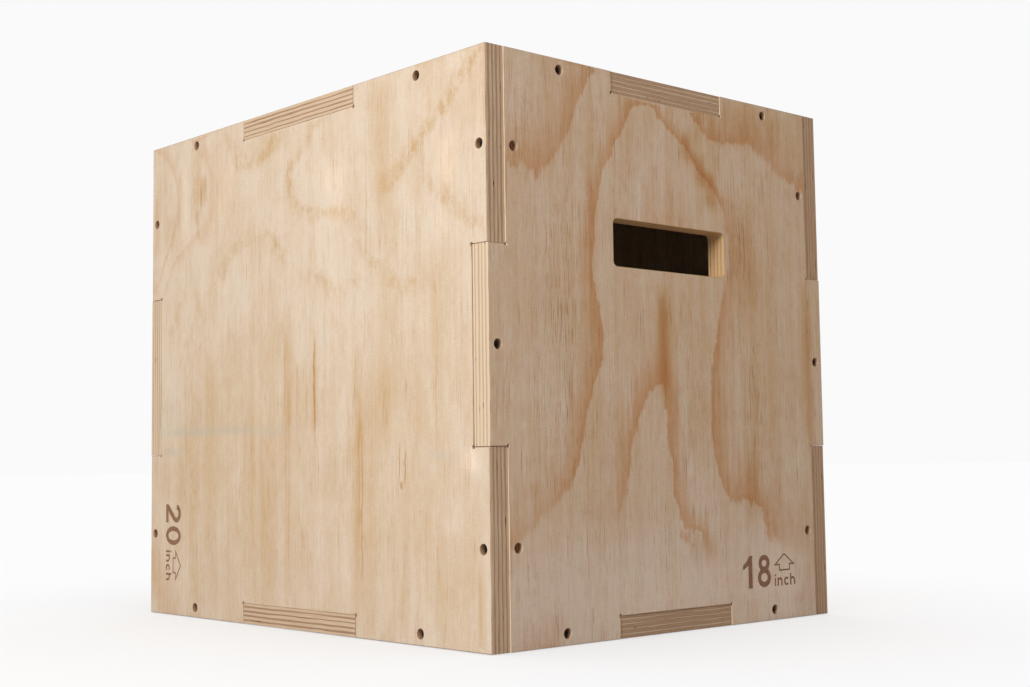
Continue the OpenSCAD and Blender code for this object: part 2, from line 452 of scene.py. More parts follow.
def field(rings, points):
    """A thin plate through the rings' points: its value and its slope along the grain, the second axis."""
    known = np.array([p for _, line in rings for p in line], float) / FIELD_UNIT
    values = np.array([value for value, line in rings for _ in line], float)
    count = len(known)
    apart = np.linalg.norm(known[:, None] - known[None], axis=2)
    matrix = np.zeros((count + 3, count + 3))
    matrix[:count, :count] = plate(apart) + FIELD_SLACK * np.eye(count)
    matrix[:count, count] = matrix[count, :count] = 1
    matrix[:count, count + 1:] = known
    matrix[count + 1:, :count] = known.T
    weights = np.linalg.solve(matrix, np.concatenate([values, np.zeros(3)]))
    where = points / FIELD_UNIT
    away = where[:, None] - known[None]
    far = np.maximum(np.linalg.norm(away, axis=2), 1e-6)
    value = plate(far) @ weights[:count] + weights[count] + where @ weights[count + 1:]
    slope = ((2 * np.log(far) + 1) * away[:, :, 1]) @ weights[:count] + weights[count + 2]
    return value, slope / FIELD_UNIT


def plate(distance):
    return distance ** 2 * np.log(np.maximum(distance, 1e-6))


def patch_sum(patches, points):
    """Soft patches (across, along, half width, half length, amount), added up at each point."""
    total = np.zeros(len(points))
    for x, y, half_w, half_l, amount in patches:
        reach = ((points[:, 0] - x) / half_w) ** 2 + ((points[:, 1] - y) / half_l) ** 4
        total += amount * np.exp(-reach)
    return total


def line_sum(lines, points):
    """Curved lines (half width, amount, way), added up at each point. They are sharp on one side only."""
    total = np.zeros(len(points))
    for half_w, amount, way in lines:
        way = np.array(way, float)
        nearest = np.full(len(points), np.inf)
        width = np.full(len(points), half_w)
        for start, end in zip(way, way[1:]):
            step, away = end - start, points - start
            along = np.clip(away @ step / (step @ step), 0, 1)
            apart = np.linalg.norm(away - along[:, None] * step, axis=1)
            soft_side = step[0] * away[:, 1] > step[1] * away[:, 0]
            width = np.where(apart < nearest, np.where(soft_side, half_w * CURL_TAIL, half_w), width)
            nearest = np.minimum(nearest, apart)
        total += amount * np.exp(-(nearest / width) ** 2)
    return total


def reused(rings, scale, shift):
    """The same growth rings as another part of the log would show them: scaled, turned over and moved."""
    (scale_x, scale_y), (shift_x, shift_y) = scale, shift
    return [
        (value, [(scale_x * x + shift_x, scale_y * y + shift_y) for x, y in line]) for value, line in rings
    ]


# Where things lie in a veneer is given in mm, as seen from outside: x from the left edge and y down from the
# top edge. On the panels whose grain runs along X, the two change places.
# Growth rings as (value of the field, points on the line)
RIGHT_RINGS = [
    (2, [(20, 385), (65, 355), (90, 325), (105, 270), (121, 235), (120, 205), (112, 170), (115, 125),
         (123, 88), (145, 52), (170, 22), (180, 22), (198, 37), (222, 50), (240, 70), (262, 88), (272, 108),
         (272, 160), (260, 205), (251, 247), (249, 293), (257, 327), (272, 353), (291, 353), (309, 360),
         (320, 387), (335, 400)]),
    (1, [(149, 327), (157, 293), (171, 270), (187, 257), (193, 277), (195, 310), (200, 343), (208, 380),
         (221, 393), (234, 380)]),
    (3, [(117, 3), (99, 30), (85, 60), (67, 87), (48, 102), (28, 92)]),
    (3, [(229, 20), (251, 39), (272, 43), (309, 40), (336, 57), (360, 68), (380, 75)]),
    (0.6, [(175, 330), (172, 440)]),
    (1.45, [(190, 190), (150, 150), (220, 290), (245, 130)]),
    (2.6, [(60, 200), (60, 280), (320, 200), (330, 300)]),
    (1.6, [(300, 440)]),
]
# Stains as patch_sum takes them: an amount above 0 is darker
RIGHT_STAINS = [
    (315, 230, 18, 100, 0.24), (300, 140, 22, 50, 0.30), (386, 240, 7, 95, 0.55), (303, 335, 12, 34, 0.40),
    (108, 110, 6, 70, 0.30), (192, 218, 9, 48, 0.85), (228, 387, 13, 12, 0.45), (235, 290, 8, 80, 0.15),
    (70, 20, 30, 40, 0.15), (310, 22, 80, 20, 0.45), (100, 255, 14, 70, 0.20), (379, 400, 14, 55, 0.40),
    (60, 300, 26, 80, -0.15), (175, 95, 30, 40, -0.10), (285, 300, 10, 60, -0.15),
    # (200, 450, 260, 75, -0.72) and (350, 420, 50, 60, -0.25) pale the bottom of the veneer: partly
    # bleaching, partly painted floor bounce light
    (200, 450, 260, 75, -0.72), (226, 52, 9, 14, 0.60), (242, 70, 9, 14, 0.60), (256, 86, 9, 16, 0.60),
    (290, 140, 16, 45, 0.12), (350, 420, 50, 60, -0.25), (195, 130, 30, 50, -0.15),
    (232, 345, 26, 34, -0.32), (364, 335, 20, 38, -0.32), (236, 195, 26, 34, 0.16),
    (375, 190, 20, 45, 0.12), (28, 35, 26, 34, -0.16), (168, 110, 26, 34, -0.14),
]
# Where the rings of the right veneer fade away
RIGHT_FADES = [
    (60, 60, 60, 60, 0.12), (330, 40, 60, 30, 0.2), (95, 405, 60, 55, 1.2), (245, 430, 45, 35, 1.1),
    (355, 430, 45, 40, 1.2), (385, 300, 20, 60, 0.6), (285, 140, 18, 50, 0.35),
]
FRONT_RINGS = [
    (1, [(3, 3), (33, 23), (45, 50), (43, 77), (30, 103), (13, 133)]),
    (2, [(75, 10), (95, 30), (106, 60), (95, 85), (62, 104), (35, 122), (15, 150)]),
    (3, [(290, 22), (270, 45), (245, 62), (250, 85), (275, 103), (300, 107), (330, 100)]),
    (4, [(482, 15), (455, 42), (418, 73), (400, 90)]),
    (3.5, [(380, 40)]), (2.5, [(180, 60), (170, 200)]), (2.6, [(100, 400)]), (3.4, [(350, 250), (350, 430)]),
    (4.4, [(495, 100)]), (3.6, [(480, 430)]),
]
FRONT_STAINS = [
    # The first two rows make the whole face a little lighter at the top and darker towards the bottom
    (250, 100, 500, 120, -0.06), (250, 330, 500, 100, 0.14), (80, 300, 60, 80, 0.12),
    (318, 88, 26, 30, -0.25), (215, 350, 32, 100, 0.15), (400, 230, 40, 80, 0.15),
    (295, 380, 40, 90, -0.15), (470, 340, 30, 80, -0.15), (240, 330, 7, 130, 0.40),
    (240, 245, 5, 45, 0.20), (180, 350, 10, 110, 0.30), (205, 350, 14, 110, 0.20), (343, 350, 6, 75, 0.60),
    (345, 260, 6, 45, 0.45), (331, 308, 5, 12, 0.35), (357, 350, 8, 110, 0.20), (374, 65, 15, 60, 0.42),
    (380, 88, 12, 10, 0.30), (377, 240, 10, 60, 0.25), (413, 40, 9, 40, 0.20), (281, 252, 3, 46, 0.40),
    (445, 225, 7, 85, 0.35), (434, 370, 6, 45, 0.30), (495, 430, 3, 30, 0.70), (97, 55, 8, 15, 0.65),
    (86, 50, 8, 40, 0.20), (205, 30, 30, 10, 0.20), (200, 120, 22, 12, 0.20), (205, 220, 60, 30, 0.15),
    (465, 400, 22, 30, 0.25), (110, 260, 30, 60, 0.12), (400, 430, 7, 25, 0.30), (295, 68, 32, 20, -0.20),
    (45, 230, 30, 60, -0.20), (460, 82, 16, 26, -0.40), (300, 380, 30, 80, -0.10),
    (138, 60, 18, 40, -0.28), (62, 62, 7, 45, -0.28), (380, 200, 40, 50, -0.10), (486, 315, 12, 11, -0.60),
    (450, 130, 14, 14, -0.30), (310, 220, 20, 90, -0.22), (135, 150, 14, 10, -0.20),
    (22, 60, 10, 40, 0.20), (300, 345, 32, 36, 0.16), (125, 345, 34, 36, 0.12), (125, 265, 34, 36, 0.10),
    (292, 125, 34, 30, -0.14),
]
FRONT_FADES = [
    (340, 330, 210, 200, 0.9), (62, 190, 50, 60, 1.0), (110, 290, 70, 90, 1.0), (350, 80, 170, 160, 1.0),
]
# Curls of the front veneer, as line_sum takes them. Their soft side is on the right of the way.
CURL_TAIL = 2.6            # how much wider the soft side is
FRONT_CURLS = [
    (3.6, 0.50, [(292, 18), (272, 36), (256, 50), (242, 60), (246, 74), (256, 90), (275, 98), (300, 101),
                 (332, 106)]),
    (3.8, 0.65, [(500, 5), (480, 20), (462, 38), (442, 52), (428, 63), (408, 78), (396, 92)]),
    (3.6, 0.50, [(508, 143), (485, 134), (470, 125), (455, 112), (436, 102)]),
    (4.0, 0.32, [(116, 143), (135, 128), (155, 112), (185, 104), (212, 110), (234, 130)]),
    (4.0, 0.30, [(88, 98), (80, 75), (77, 45), (80, 12)]),
    (4.2, 0.40, [(234, 20), (212, 36), (185, 46), (158, 40), (138, 16)]),
    (3.0, 0.22, [(84, 440), (76, 395), (78, 345), (74, 315), (65, 290), (64, 200)]),
    (3.2, 0.35, [(262, 148), (290, 158), (315, 170), (345, 163)]),
    (3.2, 0.35, [(345, 132), (365, 150), (385, 162), (402, 176), (430, 168)]),
    (3.6, 0.30, [(90, 160), (98, 180), (96, 205)]), (3.6, 0.30, [(35, 185), (50, 170), (60, 150)]),
]
# Where dark fibres crowd in the right veneer
RIGHT_CROWDS = [
    (80, 210, 11, 130, 0.9), (60, 240, 14, 90, 0.4), (290, 125, 16, 50, 0.8), (306, 280, 12, 60, 0.9),
    (225, 300, 12, 90, 0.5), (150, 110, 12, 50, 0.4), (40, 60, 20, 50, 0.4), (392, 240, 6, 110, 0.5),
]
# Streaks in the front veneer that are finer than the grid that carries the stains
FRONT_STREAKS = [
    (280, 250, 1.6, 55, 1.0), (281.5, 265, 0.8, 30, 0.5), (66, 350, 1.0, 120, 0.45),
    (64, 250, 0.8, 60, 0.25), (348, 350, 1.1, 75, 0.75), (344, 330, 0.9, 60, 0.50),
    (340, 250, 0.9, 40, 0.45), (398, 318, 1.2, 22, 0.90), (405, 320, 1.2, 18, 0.90),
    (401.5, 334, 2.6, 4, 0.90), (170, 350, 1.2, 110, 0.35), (356, 90, 1.1, 70, 0.40),
    (445, 240, 1.3, 90, 0.25), (241, 330, 1.4, 100, 0.30), (235, 240, 1.0, 40, 0.40),
    (105, 265, 1.0, 70, 0.35), (322, 60, 0.9, 50, 0.25), (92, 62, 1.4, 14, 0.60), (100, 50, 1.4, 12, 0.60),
]
# Faint chalk marks left across the grain of the front veneer
FRONT_SMEARS = [
    (110, 284, 95, 3.5, 0.50), (215, 288, 35, 3, 0.25), (42, 303, 26, 3, 0.30), (60, 270, 50, 16, 0.12),
    (448, 311, 26, 4, 0.22),
]
BACK_STAINS = [(430, 230, 9, 170, 0.3), (250, 420, 300, 90, -0.2)]
LEFT_STAINS = [(330, 200, 7, 150, 0.3), (200, 30, 260, 70, -0.2)]
TOP_STAINS = [(300, 240, 6, 150, 0.3)]
BOTTOM_STAINS = [(90, 260, 8, 170, 0.3)]
INNER_STRENGTH = 0.25      # of the rings on the faces inside the box
VENEER_PITCH = 800         # from one panel's veneer to the next in the grain's coordinates


class Panel:
    """One panel's place, outline and wood.

    strength is how dark the rings are, tone how dark the face is and age how brown the edges are. figure is
    how strong the small figure is and blush how pink the face is."""

    def __init__(self, side, outline, rings, stains, strength, tone, age, along_x=False, smears=(), fades=(),
                 curls=(), crowds=(), figure=1.0, blush=0.5):
        self.side, self.outline, self.rings, self.stains = side, outline, rings, stains
        self.curls, self.crowds = curls, crowds
        self.smears, self.fades, self.figure, self.blush = smears, fades, figure, blush
        self.strength, self.tone, self.age, self.along_x = strength, tone, age, along_x


def finger_edges():
    """(half width, depth) of notches for and fingers along each direction."""
    return {
        "x_notch": (LENGTH / 6 + FINGER_GAP, PLY), "x_finger": (LENGTH / 6, -PLY),
        "y_notch": (DEPTH / 6 + FINGER_GAP, PLY), "y_finger": (DEPTH / 6, -PLY),
        "z_notch": (HEIGHT / 6 + FINGER_GAP, PLY), "z_finger": (HEIGHT / 6, -PLY),
    }


def make_panels():
    edge = finger_edges()
    long_outline = finger_outline(LONG_REACH, HEIGHT, edge["x_notch"], edge["z_notch"])
    side_outline = finger_outline(DEPTH - 2 * PLY, HEIGHT, edge["y_notch"], edge["z_finger"])
    flat_outline = finger_outline(LONG_REACH - 2 * PLY, DEPTH - 2 * PLY, edge["x_finger"], edge["y_finger"])
    x, y, up = np.eye(3)
    middle = HEIGHT / 2
    front = Side((0, LOW[1], middle), x, up)
    back = Side((0, HIGH[1], middle), -x, up)
    right = Side((HIGH[0], 0, middle), y, up)
    left = Side((LOW[0], 0, middle), -y, up)
    top = Side((0, 0, HEIGHT), x, y)
    bottom = Side((0, 0, 0), x, -y)
    return {
        "front_panel": Panel(
            front, long_outline, FRONT_RINGS, FRONT_STAINS, strength=0.6, tone=0.0, age=0.55,
            smears=FRONT_SMEARS, fades=FRONT_FADES, curls=FRONT_CURLS, figure=0.72, blush=0.3),
        "back_panel": Panel(
            back, long_outline, reused(RIGHT_RINGS, (-0.75, 1.4), (430, -120)), BACK_STAINS,
            strength=0.8, tone=0.25, age=1.05),
        "right_panel": Panel(
            right, side_outline, RIGHT_RINGS, RIGHT_STAINS, strength=1.0, tone=0.36, age=0.0,
            fades=RIGHT_FADES, crowds=RIGHT_CROWDS, blush=1.0),
        "left_panel": Panel(
            left, side_outline, reused(RIGHT_RINGS, (-1.05, -0.9), (420, 440)), LEFT_STAINS,
            strength=0.9, tone=0.35, age=0.1),
        "top_panel": Panel(
            top, flat_outline, reused(RIGHT_RINGS, (0.55, 1.5), (90, -40)), TOP_STAINS,
            strength=0.55, tone=0.1, age=0.35, along_x=True),
        "bottom_panel": Panel(
            bottom, flat_outline, reused(RIGHT_RINGS, (-0.6, -1.3), (330, 560)), BOTTOM_STAINS,
            strength=0.8, tone=0.2, age=0.35, along_x=True),
    }


# ---- Screws: which nodes enter which panel's face ----

def screw_side(node, panels):
    return panels[node.split("_")[0] + "_panel"].side


def screw_places(node, side):
    """Middles of the two heads of a pair, in the flat frame of the panel that they enter."""
    low, high = box_mm(node)
    corners = [side.to_flat(low), side.to_flat(high)]
    span = np.abs(corners[1] - corners[0])
    middle = (corners[0] + corners[1]) / 2
    reach = np.where(span > 4 * HEAD_R, span / 2 - HEAD_R, 0)
    return [middle - reach, middle + reach]


def thread_radius(angles, depth, end):
    """Radius of the threaded shank at a depth below the panel's face."""
    turns = np.mod(depth / PITCH - angles / (2 * math.pi), 1)
    crest = np.clip(1 - np.abs(2 * turns - 1) * 1.7, 0, 1)
    point = min(1.0, 0.12 + (end - depth) / POINT_HEIGHT)
    return (CORE_R + (SHANK_R - CORE_R) * crest) * point


def cross_loop(half, width):
    """Outline of a cross drive, clockwise."""
    quarter = [(-width / 2, half), (width / 2, half), (width / 2, width / 2)]
    points = []
    for i in range(4):
        c, s = round(math.cos(i * math.pi / 2)), round(math.sin(i * math.pi / 2))
        points += [(x * c + y * s, -x * s + y * c) for x, y in quarter]
    return np.array(points)


def add_screw(solid, centre, length):
    """One screw with its head at the bottom of a recess. length is from the head's face to the point."""
    angles = np.arange(SCREW_SIDES) / SCREW_SIDES * 2 * math.pi
    round_way = np.stack([np.cos(angles), np.sin(angles)], 1)
    seat, end = RECESS_DEPTH + SEAT_HEIGHT, RECESS_DEPTH + length

    def level(radius, depth):
        return solid.add(centre + round_way * np.reshape(radius, (-1, 1)), depth)

    bevel_width, bevel_height = HEAD_BEVEL
    rings = [level(HEAD_R - bevel_width, RECESS_DEPTH), level(HEAD_R, RECESS_DEPTH + bevel_height)]
    rings.append(level(SHANK_R, seat))
    for depth in np.arange(seat + 0.2, end, PITCH / LEVELS_PER_TURN):
        rings.append(level(thread_radius(angles, depth, end), depth))
    rings.append(level(TIP_R, end))
    for upper, lower in zip(rings, rings[1:]):
        solid.wall(upper, lower, VENEER)
    solid.face(rings[-1][::-1], VENEER)
    top = solid.add(centre + cross_loop(*DRIVE_TOP), RECESS_DEPTH)
    floor = solid.add(centre + cross_loop(*DRIVE_FLOOR), RECESS_DEPTH + DRIVE_DEPTH)
    solid.sheet([rings[0], top], RECESS_DEPTH, True)
    solid.wall(top, floor, VENEER)
    solid.face(floor[::-1], VENEER)


# ---- Materials ----

class Shader:
    """A node material, built by short calls that return output sockets."""

    def __init__(self, name):
        self.material = bpy.data.materials.new(name)
        self.material.use_nodes = True
        self.tree = self.material.node_tree
        self.surface = self.tree.nodes["Principled BSDF"]

    def node(self, kind, inputs, output=0, **settings):
        made = self.tree.nodes.new("ShaderNode" + kind)
        for name, value in settings.items():
            setattr(made, name, value)
        for key, value in inputs.items():
            self.plug(made.inputs[key], value)
        return made.outputs[output]

    def plug(self, socket, value):
        if isinstance(value, bpy.types.NodeSocket):
            self.tree.links.new(value, socket)
        else:
            socket.default_value = value

    def attribute(self, name, output="Vector"):
        return self.node("Attribute", {}, output, attribute_name=name)

    def math(self, operation, a, b=0.0, c=0.0):
        return self.node("Math", {0: a, 1: b, 2: c}, operation=operation)

    def part(self, vector, axis):
        return self.node("SeparateXYZ", {0: vector}, axis)

    def stretch(self, vector, across, along, depth=4.0):
        """Coordinates in which a unit is this many mm along each axis."""
        sizes = (1 / across, 1 / along, 1 / depth)
        return self.node("VectorMath", {0: vector, 1: sizes}, operation="MULTIPLY")

    def noise(self, vector, detail=2.0, roughness=0.5):
        inputs = {"Vector": vector, "Scale": 1.0, "Detail": detail, "Roughness": roughness}
        return self.node("TexNoise", inputs)

    def ramp(self, value, low, high, start=0.0, end=1.0, smooth=True):
        kind = "SMOOTHSTEP" if smooth else "LINEAR"
        inputs = {0: value, 1: low, 2: high, 3: start, 4: end}
        return self.node("MapRange", inputs, interpolation_type=kind)

    def mix(self, factor, a, b, kind="MIX"):
        made = self.tree.nodes.new("ShaderNodeMix")
        made.data_type, made.blend_type = "RGBA", kind
        for index, value in ((0, factor), (6, a), (7, b)):
            self.plug(made.inputs[index], value)
        return made.outputs[2]

    def finish(self, colour, roughness, height=None, relief=0.0, specular=0.3):
        self.plug(self.surface.inputs["Base Color"], colour)
        self.plug(self.surface.inputs["Roughness"], roughness)
        self.plug(self.surface.inputs["Specular IOR Level"], specular)
        if height is not None:
            bump = self.node("Bump", {"Strength": 1.0, "Distance": relief * MM, "Height": height})
            self.plug(self.surface.inputs["Normal"], bump)
        return self.material


CREAM = (0.775, 0.67, 0.535, 1)
HONEY = (0.64, 0.455, 0.255, 1)
RING_TINT = (0.86, 0.62, 0.42, 1)      # multiplies the wood's colour in a growth ring,
FIBRE_TINT = (0.70, 0.56, 0.45, 1)     # in a dark fibre,
BLUSH_TINT = (1.02, 0.95, 0.98, 1)     # in a pink patch,
RESIN_TINT = (0.79, 0.60, 0.36, 1)     # in a streak of resin
BLEACH_AND_BOUNCE_TINT = (1.2, 1.2, 1.21, 1)    # and in a pale stain, which along the bottom of the right veneer is partly painted floor bounce light
PLY_LIGHT = (0.76, 0.605, 0.43, 1)
PLY_BROWN = (0.53, 0.34, 0.215, 1)
PLY_DARK = (0.33, 0.19, 0.12, 1)
SLOT_SHADE_TINT = (0.90, 0.74, 0.54, 1)      # multiplies the edge's colour in a hand slot: painted shade and warm bounce light
RECESS_SHADE = (0.30, 0.16, 0.085, 1)       # painted shade on the floor of a recess and down its pilot or bore
CHALK = (0.52, 0.50, 0.42, 1)
GLUE = (0.17, 0.10, 0.065, 1)
VOID = (0.045, 0.028, 0.02, 1)
CHAR = (0.36, 0.20, 0.12, 1)
CHAR_DARK = (0.23, 0.125, 0.075, 1)
STEEL = (0.075, 0.068, 0.06, 1)
STEEL_DARK = (0.028, 0.027, 0.026, 1)


def ring_band(sh, grain):
    """How dark a growth ring is at a point: sharp on the ring's line, fading out towards higher values."""
    rings = sh.attribute("rings")
    value, slope, strength = (sh.part(rings, axis) for axis in range(3))
    teeth = sh.noise(sh.stretch(grain, 1.5, 40), 4, 0.65)
    wobble = sh.noise(sh.stretch(grain, 10, 24), 3, 0.6)
    soft = sh.noise(sh.stretch(grain, 7, 90), 4, 0.6)
    shift = sh.math("MULTIPLY", sh.ramp(teeth, 0.25, 0.75, -4, 4, False), slope)
    shift = sh.math("ADD", shift, sh.ramp(wobble, 0.25, 0.75, -0.05, 0.05, False))
    phase = sh.math("FRACT", sh.math("ADD", value, shift))
    reach = sh.ramp(soft, 0.3, 0.7, 0.18, 0.60, False)
    fade = sh.math("SUBTRACT", 1.0, sh.math("MINIMUM", sh.math("DIVIDE", phase, reach), 1.0))
    fade = sh.math("POWER", fade, 1.2)
    crisp = sh.ramp(phase, 0, sh.ramp(strength, 0.3, 1.0, 0.14, 0.03, False))
    return sh.math("MULTIPLY", sh.math("MULTIPLY", fade, crisp), strength)


def streaks(sh, grain, wander):
    """Fine resin streaks and split fibres along the grain of the front veneer."""
    across, along = sh.math("ADD", sh.part(grain, 0), wander), sh.part(grain, 1)
    total = 0.0
    for x, y, half_w, half_l, amount in FRONT_STREAKS:
        off = sh.math("ABSOLUTE", sh.math("SUBTRACT", across, x - LONG_REACH / 2))
        on_line = sh.ramp(off, 0.2 * half_w, half_w, amount, 0.0)
        end = sh.math("ABSOLUTE", sh.math("SUBTRACT", along, HEIGHT / 2 - y))
        on_line = sh.math("MULTIPLY", on_line, sh.ramp(end, 0.4 * half_l, half_l, 1.0, 0.0))
        total = sh.math("ADD", on_line, total)
    return total


def make_veneer():
    """Face veneer: clouded cream wood with growth rings, curls, darker columns, fibres and lathe checks."""
    sh = Shader("plywood_veneer")
    grain, tint = sh.attribute("grain"), sh.attribute("tint", "Fac")
    cloud = sh.noise(sh.stretch(grain, 40, 80), 5, 0.6)
    wander = sh.ramp(sh.noise(sh.stretch(grain, 30, 45), 3, 0.6), 0.25, 0.75, -2.5, 2.5, False)
    blotch = sh.noise(sh.stretch(grain, 8, 13), 5, 0.68)
    blush = sh.noise(sh.stretch(grain, 18, 34), 3, 0.6)
    column = sh.noise(sh.stretch(grain, 15, 700), 3, 0.6)
    streak = sh.noise(sh.stretch(grain, 1.8, 130), 5, 0.7)
    fibre = sh.noise(sh.stretch(grain, 0.5, 20), 3, 0.6)
    long_fibre = sh.noise(sh.stretch(grain, 0.75, 65), 2, 0.5)
    crowd = sh.noise(sh.stretch(grain, 12, 60), 3, 0.6)
    checks = sh.noise(sh.stretch(grain, 7, 0.7), 3, 0.7)
    figure, pink, curl = (sh.part(sh.attribute("figure"), axis) for axis in range(3))
    honey = sh.ramp(blotch, 0.3, 0.7, -0.16, 0.16, False)
    honey = sh.math("ADD", honey, sh.ramp(column, 0.44, 0.56, -0.07, 0.13))
    honey = sh.math("ADD", honey, sh.ramp(streak, 0.3, 0.7, -0.14, 0.18, False))
    clouded = sh.ramp(cloud, 0.32, 0.68, 0.0, sh.math("MULTIPLY_ADD", pink, -0.15, 0.38))
    honey = sh.math("MULTIPLY_ADD", honey, figure, clouded)
    honey = sh.math("MULTIPLY_ADD", curl, sh.ramp(blotch, 0.38, 0.62, 0.3, 1.25), honey)
    colour = sh.mix(sh.math("ADD", honey, sh.math("MAXIMUM", tint, -0.1)), CREAM, HONEY)
    # Pale stains; along the bottom of the right veneer this is partly painted floor bounce light
    colour = sh.mix(sh.ramp(tint, -0.7, -0.1, 1.0, 0.0), colour, BLEACH_AND_BOUNCE_TINT, "MULTIPLY")
    pink = sh.math("MULTIPLY", sh.ramp(blush, 0.3, 0.6, 0.45, 1.0), pink)
    colour = sh.mix(pink, colour, BLUSH_TINT, "MULTIPLY")
    colour = sh.mix(ring_band(sh, grain), colour, RING_TINT, "MULTIPLY")
    colour = sh.mix(sh.ramp(tint, 0.55, 1.4), colour, RING_TINT, "MULTIPLY")
    crowded = sh.attribute("crowded", "Fac")
    lines = sh.math("ADD", sh.ramp(crowd, 0.36, 0.64, 0.16, 0.75), crowded)
    lines = sh.math("MULTIPLY", sh.ramp(fibre, 0.54, 0.64), lines)
    colour = sh.mix(sh.math("MULTIPLY", lines, figure), colour, FIBRE_TINT, "MULTIPLY")
    lines = sh.math("ADD", sh.ramp(crowd, 0.42, 0.62, 0.2, 1.0), crowded)
    thin = sh.math("MULTIPLY_ADD", crowded, -0.05, 0.61)
    lines = sh.math("MULTIPLY", sh.ramp(long_fibre, thin, 0.68), lines)
    colour = sh.mix(sh.math("MULTIPLY", lines, figure), colour, FIBRE_TINT, "MULTIPLY")
    colour = sh.mix(sh.ramp(checks, 0.35, 0.75, 0.0, 0.30, False), colour, FIBRE_TINT, "MULTIPLY")
    colour = sh.mix(streaks(sh, grain, wander), colour, RESIN_TINT, "MULTIPLY")
    colour = sh.mix(sh.attribute("smear", "Fac"), colour, CHALK)
    roughness = sh.ramp(streak, 0.3, 0.7, 0.70, 0.82)
    height = sh.math("MULTIPLY_ADD", checks, 0.5, sh.math("ADD", fibre, streak))
    return sh.finish(colour, roughness, height, 0.10, 0.3)


def make_edge():
    """Cut edge of the plywood: veneers along the face's grain alternate with veneers across it."""
    sh = Shader("plywood_edge")
    grain, age = sh.attribute("grain"), sh.attribute("edge", "Fac")
    lengthwise = sh.attribute("lengthwise")
    normal = sh.node("NewGeometry", {}, "True Normal")
    facing = sh.node("VectorMath", {0: normal, 1: lengthwise}, "Value", operation="DOT_PRODUCT")
    facing = sh.math("ABSOLUTE", facing)
    wave = sh.ramp(sh.noise(sh.stretch(grain, 28, 28, 60), 2), 0.3, 0.7, -0.2, 0.2, False)
    depth = sh.math("ADD", sh.part(grain, 2), wave)
    period = PLY / (PLIES / 2 + 0.1)
    thick = sh.ramp(sh.noise(sh.stretch(grain, 90, 90, 5), 1), 0.3, 0.7, 0.58, 0.84, False)
    place = sh.math("DIVIDE", depth, period)
    phase = sh.math("FRACT", place)
    is_cross = sh.math("GREATER_THAN", phase, thick)
    end = sh.math("ABSOLUTE", sh.math("SUBTRACT", is_cross, facing))
    to_glue = sh.math("ABSOLUTE", sh.math("SUBTRACT", phase, thick))
    to_glue = sh.math("MINIMUM", to_glue, sh.math("PINGPONG", phase, 0.5))
    speck = sh.noise(sh.stretch(grain, 0.8, 0.8, 0.4), 4, 0.65)
    layer = sh.noise(sh.stretch(grain, 26, 26, 0.5), 4, 0.62)
    worn = sh.math("MULTIPLY", sh.ramp(layer, 0.42, 0.62), age)
    light = sh.mix(sh.math("ADD", worn, sh.math("MULTIPLY", age, 0.7)), PLY_LIGHT, PLY_BROWN)
    browned = sh.math("MULTIPLY_ADD", facing, 0.45, sh.ramp(layer, 0.35, 0.68, 0.6, 0.1))
    dark = sh.mix(browned, PLY_DARK, PLY_BROWN)
    dark = sh.mix(sh.ramp(age, 0.0, 0.3, 0.55, 0.0), dark, PLY_LIGHT)
    dark = sh.mix(sh.math("MULTIPLY", age, 0.3), dark, light)
    colour = sh.mix(end, light, dark)
    pores = sh.math("MULTIPLY", sh.ramp(speck, 0.48, 0.7, 0, 0.6), sh.math("ADD", end, 0.4))
    colour = sh.mix(pores, colour, FIBRE_TINT, "MULTIPLY")
    colour = sh.mix(sh.ramp(to_glue, 0.015, 0.05, sh.ramp(age, 0.0, 0.3, 0.3, 0.45), 0.0), colour, GLUE)
    hole = sh.ramp(sh.noise(sh.stretch(grain, 14, 14, 1.6), 2), 0.68, 0.70)
    gap = sh.math("MULTIPLY", hole, is_cross)
    colour = sh.mix(gap, colour, VOID)
    # Painted shade: the bottoms of the recesses, with their pilots and bores, turn deep brown
    colour = sh.mix(sh.ramp(age, 1.0, RECESS_SHADE_AGE), colour, RECESS_SHADE)
    # Painted shade and warm bounce light on the edges inside a hand slot
    colour = sh.mix(sh.ramp(age, SLOT_SHADE_AGE, 0.0, 1.0, 0.0), colour, SLOT_SHADE_TINT, "MULTIPLY")
    height = sh.math("SUBTRACT", sh.math("MULTIPLY_ADD", speck, 0.5, layer), sh.math("MULTIPLY", gap, 1.5))
    return sh.finish(colour, 0.75, height, 0.18, 0.25)


def make_burnt():
    sh = Shader("burnt_mark")
    grain = sh.attribute("grain")
    patchy = sh.noise(sh.stretch(grain, 1.2, 5), 3, 0.6)
    colour = sh.mix(sh.ramp(patchy, 0.3, 0.7), CHAR, CHAR_DARK)
    return sh.finish(colour, 0.8, patchy, 0.12, 0.2)


def make_steel():
    sh = Shader("dark_steel")
    place = sh.node("TexCoord", {}, "Object")
    coarse = sh.node("TexNoise", {"Vector": place, "Scale": 900.0, "Detail": 3.0})
    colour = sh.mix(sh.ramp(coarse, 0.35, 0.65), STEEL_DARK, STEEL)
    sh.surface.inputs["Metallic"].default_value = 0.85
    return sh.finish(colour, sh.ramp(coarse, 0.3, 0.7, 0.38, 0.6), coarse, 0.03, 0.5)


# ---- Objects ----

def make_object(name, solid, side, materials):
    mesh = bpy.data.meshes.new(name)
    mesh.from_pydata(side.to_frame(solid.vertices).tolist(), [], solid.faces)
    mesh.polygons.foreach_set("material_index", solid.kinds)
    for material in materials:
        mesh.materials.append(material)
    mesh.shade_smooth()
    mesh.set_sharp_from_angle(angle=SMOOTH_ANGLE)
    made = bpy.data.objects.new(name, mesh)
    bpy.context.scene.collection.objects.link(made)
    return made


def put_attribute(mesh, name, values, kind="FLOAT_VECTOR"):
    attribute = mesh.attributes.new(name, kind, "POINT")
    member = "vector" if kind == "FLOAT_VECTOR" else "value"
    attribute.data.foreach_set(member, np.ravel(values).astype(np.float32))


